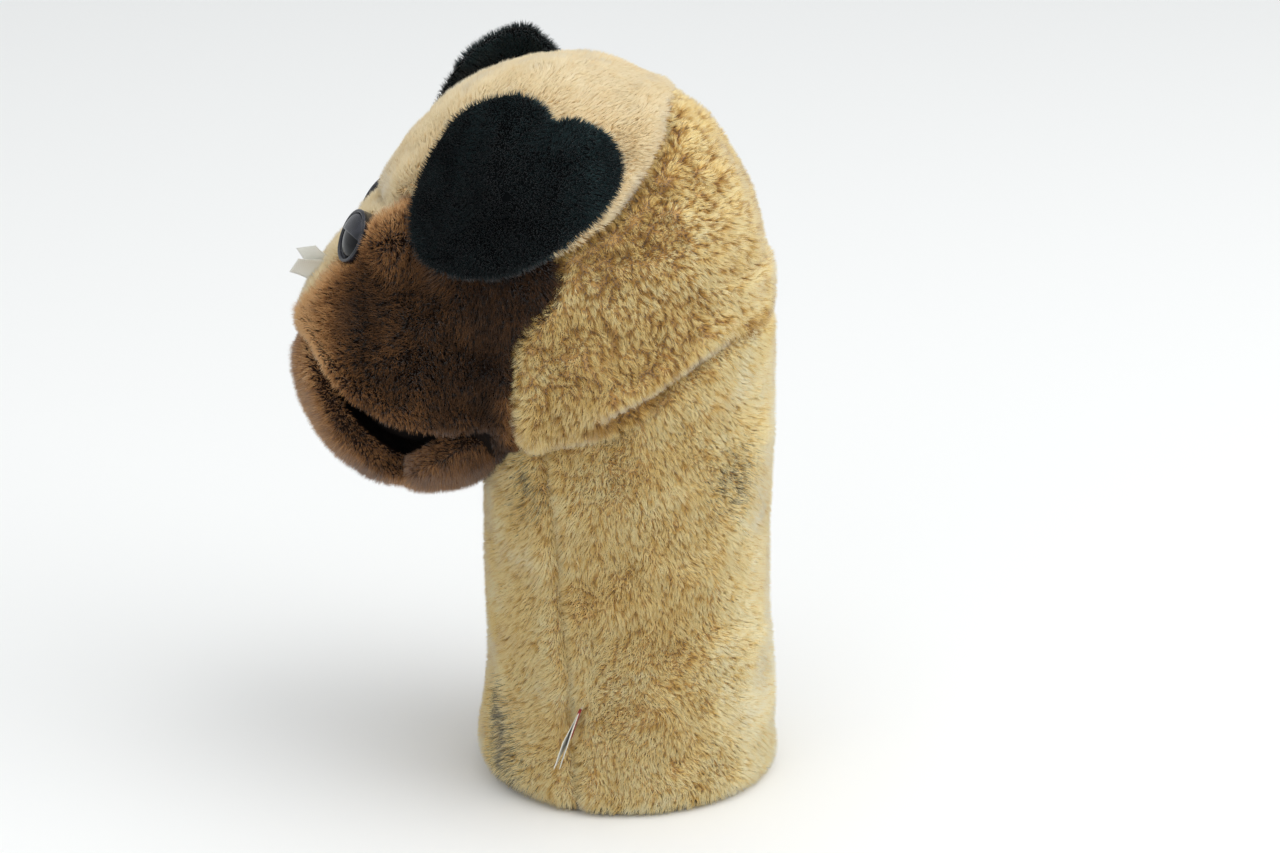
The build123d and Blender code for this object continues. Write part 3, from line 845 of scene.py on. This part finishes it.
SEAM_HALF = 0.008  # half of the gap between the panels, as an angle
neck_panels = {
    "neck_front": (lambda z: -seam_angle(z) + SEAM_HALF, lambda z: seam_angle(z) - SEAM_HALF, 76,
                   ["neck_front_panel", "neck_wadding"]),
    "neck_back": (lambda z: seam_angle(z) + SEAM_HALF, lambda z: 2 * pi - seam_angle(z) - SEAM_HALF, 140,
                  ["neck_back_panel"]),
}
neck_plush = bending(*NECK_BEND, "tan_plush")
for panel, (first, last, columns, replaced) in neck_panels.items():
    v, f = neck_panel(first, last, columns)
    n = vertex_normals(v, f)
    skin = shell(panel + "_cloth", v, f, n, CLOTH)
    dress(skin, TAN_CLOTH, neck_plush)
    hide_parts(*replaced)
    grow(panel + "_pile", v, f, n, NECK_COAT, neck_plush, below_head)

# ---- the jaw
JAW_OUT, JAW_IN = 2.2, -7.5
JAW_ROWS, JAW_COLUMNS = 26, 140
JAW_CLEAR_R = 59.0  # the jaw's rear stays clear of the neck


def jaw_rings():
    """The jaw as a thick bowl under the muzzle: outer face, rolled rim and inner face."""
    around = np.linspace(0, 2 * pi, JAW_COLUMNS, endpoint=False)
    lift = np.linspace(-pi / 2, pi / 2.2, 400)
    radii = MUZZLE_RADII - PILE
    y = MUZZLE[1] - np.outer(np.cos(around), np.cos(lift)) * radii[1]
    z = np.broadcast_to(MUZZLE[2] + np.sin(lift) * radii[2], y.shape)
    top = lift[np.argmax(z > jaw_height(y), axis=1)]
    outer = [(share, JAW_OUT, 0) for share in np.linspace(0.02, 0.96, JAW_ROWS)]
    rim = [(0.99, JAW_OUT - 0.6, 0.4), (1.0, JAW_OUT - 2.4, 1.6), (1.0, (JAW_OUT + JAW_IN) / 2, 2.4),
           (1.0, JAW_IN + 2.0, 1.4), (0.99, JAW_IN + 0.5, 0.3)]
    inner = [(share, JAW_IN, 0) for share in np.linspace(0.96, 0.02, JAW_ROWS)]
    rings = []
    for share, grown, raised in outer + rim + inner:
        angle = -pi / 2 + (top + pi / 2) * share
        flat = np.cos(angle)
        ring = np.stack([np.sin(around) * flat * (radii[0] + grown),
                         MUZZLE[1] - np.cos(around) * flat * (radii[1] + grown),
                         MUZZLE[2] + np.sin(angle) * (radii[2] + grown) + raised], axis=1)
        lobe = bump(ring[:, 1] + 68, 14) * smoothstep((ring[:, 2] - 132) / 14) * (grown > 0)
        ring[:, 0] += np.sign(ring[:, 0]) * 2.6 * lobe * smoothstep(np.abs(ring[:, 0]) / 20)
        rings.append(ring)
    return rings


def bowl_faces(rows, columns):
    """The quads between rings of points, and a cap at each end."""
    row = np.arange(rows - 1)[:, None] * columns
    here = np.arange(columns)[None]
    there = (here + 1) % columns
    quads = np.stack([row + here, row + there, row + there + columns, row + here + columns], -1)
    caps = [np.arange(columns)[None, ::-1], np.arange((rows - 1) * columns, rows * columns)[None]]
    return quads.reshape(-1, 4), caps


rings = jaw_rings()
jaw_points = np.concatenate(rings)
jaw_quads, jaw_caps = bowl_faces(len(rings), JAW_COLUMNS)
in_neck = np.hypot(jaw_points[:, 0], jaw_points[:, 1]) < JAW_CLEAR_R
in_neck &= np.abs(jaw_points[:, 0]) < JAW_CLEAR_R - 1
jaw_points[in_neck, 1] = -np.sqrt(JAW_CLEAR_R**2 - jaw_points[in_neck, 0] ** 2)
jaw_normals = vertex_normals(jaw_points, jaw_quads)
if ((jaw_points - MUZZLE) * jaw_normals)[: JAW_COLUMNS * JAW_ROWS].sum() < 0:
    jaw_quads, jaw_caps = turn_over(jaw_quads, jaw_caps)
    jaw_normals = -jaw_normals
relief = 0.8 * noise(jaw_points, 15, 81) + 0.4 * noise(jaw_points, 6, 82)
jaw_points = jaw_points + jaw_normals * relief[:, None]
jaw_normals = vertex_normals(jaw_points, jaw_quads)
jaw = mesh_from("jaw_cloth", jaw_points, [jaw_quads] + jaw_caps)
on_jaw = bending("head", "jaw", (0, -0.055, 0.150), (0, -0.085, 0.150), "brown_plush")
dress(jaw, BROWN_CLOTH, on_jaw)
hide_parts("jaw_panel", "jaw_stuffing", "mouth_floor")


def clear_of_neck(p, rng):
    return np.hypot(p[:, 0], p[:, 1]) > JAW_CLEAR_R + 2


def jaw_trim(p):
    """Shorter pile along the jaw's upper edge, so that the mouth stays open."""
    return 0.4 + 0.6 * smoothstep((jaw_height(p[:, 1]) - p[:, 2]) / 8)


jaw_outside = jaw_quads[: JAW_COLUMNS * (JAW_ROWS + 3)]
grow("jaw_pile", jaw_points, jaw_outside, jaw_normals, JAW_COAT, on_jaw, clear_of_neck, jaw_trim)

# ---- the ears
EAR_SHAPE = [(-82, 254), (-81, 264), (-76, 278), (-68, 291), (-60, 299), (-50, 304), (-39, 306),
             (-30, 302), (-25, 296), (-17, 297), (-5, 293), (1, 285), (2, 277), (-4, 266), (-15, 256),
             (-27, 248), (-43, 241), (-63, 239), (-77, 243)]
EAR_MIDDLE = np.array([-42.0, 270.0])
EAR_NOTCH, EAR_HOLLOW = np.array([-25.0, 299.0]), np.array([-50.0, 264.0])
EAR_PAD = 3.4
EAR_ROWS = 26


def round_outline(points, steps):
    """A smooth closed line through points, in as many steps between each pair (Catmull-Rom)."""
    p = np.array(points, float)
    t = (np.arange(steps) / steps)[:, None]
    out = []
    for i in range(len(p)):
        a, b, c, d = p[i - 1], p[i], p[(i + 1) % len(p)], p[(i + 2) % len(p)]
        out.append(0.5 * (2 * b + (c - a) * t + (2 * a - 5 * b + 4 * c - d) * t**2
                          + (3 * b - a - 3 * c + d) * t**3))
    return np.concatenate(out)


def skull_x(y, z, off):
    """How far out the head's side is at (y, z), with the skull grown by off."""
    depth, height = SKULL_RADII[1] + off, SKULL_RADII[2] + off
    share = 1 - ((y - SKULL[1]) / depth) ** 2 - ((z - SKULL[2]) / height) ** 2
    return (SKULL_RADII[0] + off) * np.sqrt(np.clip(share, 0.02, 1))


def ear_points(forward, raised):
    """A padded ear in rings: its outer face from the middle out, then its inner face back."""
    edge = round_outline(EAR_SHAPE, 8)
    shares = np.sin(np.linspace(0.03, 1, EAR_ROWS) * pi / 2)
    rings = []
    for face, order in ((1, shares), (-1, shares[::-1])):
        for share in order:
            yz = EAR_MIDDLE + (edge - EAR_MIDDLE) * share
            y, z = yz[:, 0], yz[:, 1]
            stand = np.interp(z, [236, 262, 292, 306], [6.5, 5.5, 8.0, 14.0])
            middle = skull_x(y - forward * smoothstep((z - 250) / 40), z, stand)
            fold, along = line_distance(np.stack([0 * y, y, z], axis=1), [EAR_NOTCH, EAR_HOLLOW])
            middle = middle - 4.5 * bump(fold, 9) * (1 - along) ** 0.7 * share
            middle = middle + 2.2 * bump(np.hypot(y + 46, z - 292), 14)
            middle = middle + 1.6 * bump(np.hypot(y + 12, z - 280), 13)
            puff = EAR_PAD * np.sqrt(max(1 - share**4, 0.0)) * (0.8 + 0.5 * smoothstep((z - 280) / 20))
            lift = raised * smoothstep((z - 262) / 34) * smoothstep((-28 - y) / 14)
            rings.append(np.stack([middle + face * puff, y - forward, z + lift], axis=1))
    return np.concatenate(rings), len(edge), len(rings)


# the far ear sits further forward and a little higher
for side, sign, forward, raised in (("left", 1, 0, 0), ("right", -1, 7, 4.5)):
    v, columns, rows = ear_points(forward, raised)
    v[:, 0] += 0.8 * noise(v, 22, 91 + sign) + 0.5 * noise(v, 9, 92 + sign)
    v = v * [sign, 1, 1]
    f, caps = bowl_faces(rows, columns)
    n = vertex_normals(v, f)
    if n[: len(v) // 2, 0].sum() * sign < 0:
        (f, caps), n = turn_over(f, caps), -n
    ear = mesh_from(side + "_ear_cloth", v, [f] + caps)
    on_ear = riding(side + "_ear")
    dress(ear, BLACK_CLOTH, on_ear)
    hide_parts(side + "_ear_plush", side + "_ear_lining", side + "_ear_root_seam")
    grow(side + "_ear_pile", v, f, n, EAR_COAT, on_ear)

# ---- turned and swept pieces
def frame_of(look):
    """Two directions square to a third: sideways and upwards."""
    look = unit(look)
    aside = unit(np.cross([0, 0, 1.0], look))
    return aside, np.cross(look, aside), look


def turned(name, seat, look, profile, squash=(1, 1), steps=72):
    """A closed piece turned about an axis from (radius, height) points."""
    aside, upward, look = frame_of(look)
    angle = np.linspace(0, 2 * pi, steps, endpoint=False)
    profile = np.array(profile, float)
    r, h = np.maximum(profile[:, :1], 0.02), profile[:, 1:]
    x, y = r * np.cos(angle) * squash[0], r * np.sin(angle) * squash[1]
    v = seat + x[..., None] * aside + y[..., None] * upward + h[..., None] * look
    v = v.reshape(-1, 3)
    f, caps = bowl_faces(len(profile), steps)
    if (vertex_normals(v, f) * (v - v.mean(0))).sum() < 0:
        f, caps = turn_over(f, caps)
    return mesh_from(name, v, [f] + caps)


def arc(centre_r, centre_h, radius, first, last, steps=10):
    """Points of a round edge in a turned profile, from one angle to another in degrees."""
    t = np.radians(np.linspace(first, last, steps))
    return [(centre_r + radius * cos(a), centre_h + radius * sin(a)) for a in t]


def swept(name, path, radius, steps=10):
    """A closed cord round a path of points."""
    path = np.array(path, float)
    along = unit(np.gradient(path, axis=0))
    side = unit(np.cross(along, [0.13, 0.21, 0.97]))
    other = np.cross(along, side)
    angle = np.linspace(0, 2 * pi, steps, endpoint=False)[:, None]
    v = path[:, None] + radius * (np.cos(angle) * side[:, None] + np.sin(angle) * other[:, None])
    f, caps = turn_over(*bowl_faces(len(path), steps))
    return mesh_from(name, v.reshape(-1, 3), [f] + caps)


EYE_PLASTIC = mottled("eye_plastic", (5, 6, 8), (12, 14, 18), 0.1, 220, 0.08,
                      Specular_IOR_Level=0.2, Coat_Weight=0.08, Coat_Roughness=0.03)
LID_PLASTIC = mottled("lid_plastic", (24, 26, 32), (44, 46, 54), 0.24, 260, 0.15,
                      Specular_IOR_Level=0.4, Coat_Weight=0.1, Coat_Roughness=0.12)
NOSE_PLASTIC = mottled("nose_plastic", (10, 10, 11), (24, 23, 24), 0.3, 700, 0.6,
                       Coat_Weight=0.3, Coat_Roughness=0.2)
WASHER_PLASTIC = mottled("washer_plastic", (200, 202, 200), (226, 228, 226), 0.45, 180, 0.2)
SATIN = woven("label_satin", (214, 212, 200), (244, 243, 236), 900, 0.42, 0.3, Sheen_Weight=0.3)
RED_THREAD = woven("red_thread", (120, 16, 16), (176, 34, 30), 1200, 0.6)
LINING = woven("lining_weave", (150, 142, 124), (206, 198, 178), 1100, 0.8, 0.6, Sheen_Weight=0.15)
ELASTIC = woven("elastic_weave", (196, 196, 190), (232, 232, 226), 1500, 0.7)
HEM_TAPE = woven("hem_weave", (70, 58, 40), (118, 98, 66), 1300, 0.85, 0.8, Sheen_Weight=0.2)
THREAD = woven("seam_thread_twist", (96, 70, 38), (150, 116, 70), 2400, 0.75, 0.8)

# ---- the eyes
EYE_LOOK = unit([0.40, -0.82, 0.41])
FAR_EYE_BACK = 2.5  # the far eye is set a little deeper
LID_DROP = 0.88  # how far down the lid comes, of the way to the eye's middle


def points_of(obj):
    """An object's points in millimetres."""
    co = np.zeros(len(obj.data.vertices) * 3, np.float32)
    obj.data.vertices.foreach_get("co", co)
    return co.reshape(-1, 3) / MM


def lid_mesh(name, seat, look):
    """The upper lid: a domed shell over the top of the eye, with a thick lower edge."""
    aside, upward, look = frame_of(look)
    across = np.linspace(0.0, pi, 41)
    layers = []
    for radius, height in ((EYE_R - 1.5, EYE_DOME - 0.9), (EYE_R - 2.6, EYE_DOME - 2.2)):
        rows = []
        for t in np.linspace(0.0, 1.0, 15):
            x = np.cos(across)
            y = np.sin(across) * (1 - LID_DROP * t)
            r = np.hypot(x, y).clip(0, 1)
            h = height * np.sqrt(np.clip(1 - r**2, 0, 1)) * 0.92 + 2.0
            rows.append(seat + radius * (x[:, None] * aside + y[:, None] * upward) + h[:, None] * look)
        layers.append(np.stack(rows))
    return leaf(name, *layers)


ring_profile = ([(8.2, -3.5), (EYE_R - 0.4, -3.5)] + arc(EYE_R - 0.9, 2.3, 0.9, -30, 170)
                + [(EYE_R - 1.9, 1.2), (8.2, 1.0)])
ball_profile = [(0, -3.0), (8.8, -3.0)] + [((EYE_R - 2.2) * cos(t), 0.6 + (EYE_DOME - 0.6) * sin(t))
                                          for t in np.linspace(0, pi / 2, 18)]
on_face = riding("head")
for side, sign in (("left", 1), ("right", -1)):
    look = EYE_LOOK * [sign, 1, 1]
    seat = EYE_AT * [sign, 1, 1] + np.array([0, FAR_EYE_BACK if sign < 0 else 0, 0])
    eye = turned(side + "_eye_ball", seat, look, ball_profile)
    dress(eye, EYE_PLASTIC, on_face)
    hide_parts(side + "_eye")
    rim = turned(side + "_eye_rim", seat, look, ring_profile + ring_profile[:1])
    dress(rim, LID_PLASTIC, on_face)
    dress(lid_mesh(side + "_eye_lid", seat, look), LID_PLASTIC, on_face)

# ---- the nose
NOSE_W, NOSE_HIGH, NOSE_T = 11.0, 8.0, 6.5
NOSE_SUNK = 9.5  # how deep its back is behind the tip of the CAD nose
nose_look = unit([0.0, -51.4, 15.0])
node = points_of(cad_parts["nose"])
ahead = node @ nose_look
nose_seat = node[ahead > ahead.max() - 0.05].mean(0) - nose_look * NOSE_SUNK
nose_profile = [(0, -1.0), (0.97, -1.0), (1.0, 0.4)]
nose_profile += [(max(cos(t), 0) ** 0.8, 0.4 + (NOSE_T - 0.4) * sin(t))
                 for t in np.linspace(0.05, pi / 2, 26)]
nose = turned("nose_button", nose_seat, nose_look, nose_profile, squash=(NOSE_W, NOSE_HIGH), steps=96)
points = points_of(nose)
for x in (-4.2, 4.2):
    nostril = nose_seat + nose_look * NOSE_T + np.array([x, 0, 0]) - np.array([0, 0, 2.2])
    gap = np.linalg.norm((points - nostril) * [1, 0.6, 1.3], axis=1)
    points = points - nose_look * (2.2 * bump(gap, 2.2))[:, None]
points = points + nose_look * (0.12 * noise(points, 1.1, 101))[:, None]
nose.data.vertices.foreach_set("co", (points * MM).astype(np.float32).ravel())
nose.data.update()
dress(nose, NOSE_PLASTIC, riding("head"))
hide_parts("nose")

# ---- the labels
def ribbon(name, centre, across, width, thickness=0.22):
    """A closed strip of ribbon: points down its middle, and the way across it at each."""
    across = unit(across)
    along = unit(np.gradient(centre, axis=0))
    normal = unit(np.cross(along, across))
    share = np.linspace(-0.5, 0.5, 9)
    width = np.broadcast_to(width, len(centre))
    flat = centre[:, None] + (width[:, None] * share)[..., None] * across[:, None]
    half = normal[:, None] * thickness / 2
    return leaf(name, flat + half, flat - half, flip=True)


CARE_W, CARE_REACH = 12.5, 29.0
MARK_ROWS = slice(4, 7)  # where the red mark crosses the care label
care_out = unit([0.975, -0.20, 0.0])
care_aside = np.cross([0, 0, 1.0], care_out)
care_root = np.array([55.6, -15.6, 43.0])
t = np.linspace(0, 1, 22)
for layer, fan in (("front", -1), ("back", 1)):
    reach, sway = CARE_REACH * t, 0.3 * fan * t + 0.9 * fan * t**3 + 0.8 * t**2
    centre = care_root + reach[:, None] * care_out + sway[:, None] * care_aside
    centre[:, 2] -= 6.0 * t**1.3
    tilt = np.stack([0.10 * t * fan, 0.32 + 0 * t, np.ones_like(t)], axis=1)
    piece = ribbon("care_label_" + layer, centre, tilt, CARE_W - 1.2 * (1 - t) ** 3)
    dress(piece, SATIN, riding("care_label"))
    if fan < 0:
        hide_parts("care_label")
mark = ribbon("care_label_mark", centre[MARK_ROWS] - 0.1 * care_aside, tilt[MARK_ROWS], CARE_W + 0.3, 1.0)
dress(mark, RED_THREAD, riding("care_label"))

FACE_W, FACE_REACH, FACE_TUCK = 11.0, 13.5, 3.0  # how far it stands out and is sewn in
face_root = np.array([10.8, -124.5, 219.0])
face_edge = unit([0.0, 0.36, 0.93])
for layer, fan, way, end_edge in (("upper", -1, (0.10, -0.62, 0.78), (0.50, 0.82, 0.28)),
                                  ("lower", 1, (0.06, -0.95, 0.25), (0.55, 0.45, 0.70))):
    reach = (FACE_REACH + FACE_TUCK) * t - FACE_TUCK
    way = unit(way)
    centre = face_root + reach[:, None] * way
    centre[:, 0] += 0.3 * fan + 1.6 * fan * t**2
    turn = smoothstep(t)[:, None]
    across = (1 - turn) * face_edge + turn * np.array(end_edge)
    piece = ribbon("face_label_" + layer, centre, across, FACE_W)
    dress(piece, SATIN, riding("face_label"))
    if fan < 0:
        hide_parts("face_label")

# ---- hem, seams, lining
HEM_STEPS, HEM_SIDES = 360, 12
around = np.linspace(0, 2 * pi, HEM_STEPS + 1)[:-1]
hem_r = neck_radius(around, np.full(HEM_STEPS, HEM_H)) - 2.4
rows = []
for angle in np.linspace(0, 2 * pi, HEM_SIDES, endpoint=False):
    r = hem_r + 1.6 * cos(angle) + 0.15 * np.sin(around * 90)
    rows.append(on_neck(r, around, np.full(HEM_STEPS, 1.7 + 1.7 * sin(angle))))
v = np.concatenate(rows)
f, _ = bowl_faces(HEM_SIDES + 1, HEM_STEPS)
f %= len(v)
if (vertex_normals(v, f) * unit(v * [1, 1, 0]))[:HEM_STEPS].sum() < 0:
    f = f[:, ::-1]
hem = mesh_from("hem_tape", v, f)
dress(hem, HEM_TAPE, riding("neck"))
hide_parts("hem_binding")

z = np.linspace(4, 182, 420)
for side, sign in (("left", 1), ("right", -1)):
    angle = sign * seam_angle(z)
    r = neck_radius(angle, z) + 0.5 + 0.35 * np.sin(z * 2.1)
    path = on_neck(r, angle, z)
    path[:, 0] += 0.3 * np.cos(z * 1.05)
    seam = swept(side + "_seam_thread", path, 0.55)
    dress(seam, THREAD, bending(*NECK_BEND, "seam_thread"))
    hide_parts(side + "_side_seam")

for node, material in (("sleeve_lining", LINING), ("pocket_lining", LINING), ("throat_elastic", ELASTIC),
                       ("left_eye_washer", WASHER_PLASTIC), ("right_eye_washer", WASHER_PLASTIC),
                       ("nose_washer", WASHER_PLASTIC)):
    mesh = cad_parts[node].data
    mesh.materials.clear()
    mesh.materials.append(material)
